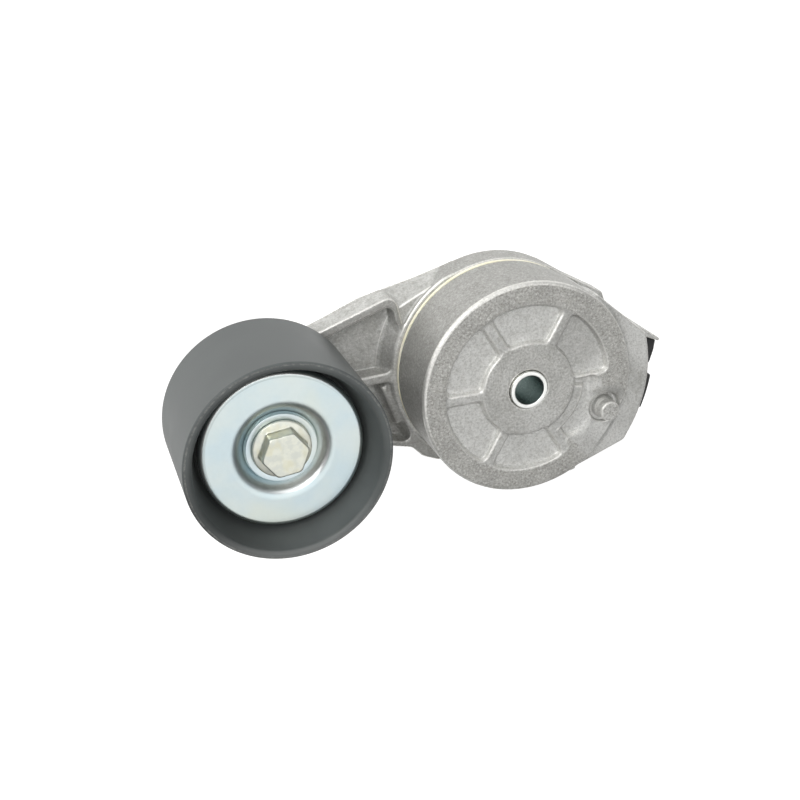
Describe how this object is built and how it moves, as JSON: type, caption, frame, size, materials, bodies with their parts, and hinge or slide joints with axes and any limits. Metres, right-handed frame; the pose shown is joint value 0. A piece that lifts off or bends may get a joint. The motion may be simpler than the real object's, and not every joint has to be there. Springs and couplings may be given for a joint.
{
  "type": "belt tensioner",
  "caption": "Automatic belt tensioner: spring case with mounting bore and locating stub, sprung arm on a plain bush and a wide smooth idler pulley on a ball bearing.",
  "frame": {"origin": "on the pivot axis, in the plane of the mounting face (the ring-shaped front face of the spring case)", "axes": "+Z along the pivot axis, out of the mounting face towards the engine; -X from the pivot to the pulley axis at rest; +Y completes the right-handed frame"},
  "size_m": [0.2127, 0.0957, 0.068],
  "materials": {
    "cast_aluminium": "sand-grey die casting, fine pitted skin, satin",
    "pulley_coating": "dark grey satin coating, worn bright at the rims",
    "blue_zinc": "bluish bright zinc plating, smooth and glossy",
    "bolt_zinc": "pale yellowish zinc plating, satin",
    "sleeve_steel": "turned plain steel, bright",
    "spring_steel": "oiled dark spring steel",
    "bearing_steel": "ground and polished bearing steel",
    "joint_ring": "thin brass-coloured sealing ring, satin",
    "friction_polymer": "dark glass-filled friction polymer",
    "pale_nylon": "natural nylon",
    "black_rubber": "moulded black rubber, matt"
  },
  "bodies": {
    "root": {"spring_case": "cast_aluminium", "pivot_sleeve": "sleeve_steel", "end_plate": "blue_zinc", "torsion_spring": "spring_steel", "damping_band": "friction_polymer", "joint_ring": "joint_ring", "upper_stop_pad": "black_rubber", "lower_stop_pad": "black_rubber"},
    "arm": {"tensioner_arm": "cast_aluminium", "pivot_bushing": "pale_nylon", "thrust_washer": "friction_polymer", "finger_buffer": "black_rubber", "bearing_sleeve": "sleeve_steel", "bearing_inner_ring": "bearing_steel", "front_dust_shield": "blue_zinc", "rear_dust_shield": "blue_zinc", "bolt_washer": "blue_zinc", "pulley_bolt": "bolt_zinc"},
    "pulley": {"pulley_shell": "pulley_coating", "bearing_outer_ring": "bearing_steel", "bearing_retaining_ring": "spring_steel", "front_bearing_seal": "black_rubber", "rear_bearing_seal": "black_rubber"},
    "ball_cage": {"bearing_cage": "pale_nylon", "front_ball_1": "bearing_steel", "front_ball_2": "bearing_steel", "front_ball_3": "bearing_steel", "front_ball_4": "bearing_steel", "front_ball_5": "bearing_steel", "front_ball_6": "bearing_steel", "front_ball_7": "bearing_steel", "front_ball_8": "bearing_steel", "rear_ball_1": "bearing_steel", "rear_ball_2": "bearing_steel", "rear_ball_3": "bearing_steel", "rear_ball_4": "bearing_steel", "rear_ball_5": "bearing_steel", "rear_ball_6": "bearing_steel", "rear_ball_7": "bearing_steel", "rear_ball_8": "bearing_steel"}
  },
  "joints": [
    {"name": "arm_pivot", "type": "hinge", "parent": "root", "child": "arm", "pos_m": [0, 0, -0.03], "axis": [0, 0, -1], "range_deg": [0, 30], "stiffness_Nm_per_rad": 45, "springref_deg": -31.51, "deforming": ["torsion_spring"]},
    {"name": "pulley_spin", "type": "hinge", "parent": "arm", "child": "pulley", "pos_m": [-0.1055, 0, -0.0045], "axis": [0, 0, 1], "continuous": true},
    {"name": "cage_orbit", "type": "hinge", "parent": "arm", "child": "ball_cage", "pos_m": [-0.1055, 0, -0.0045], "axis": [0, 0, 1], "continuous": true}
  ],
  "couplings": [
    {"joint": "cage_orbit", "follows": "pulley_spin", "ratio": 0.607}
  ]
}
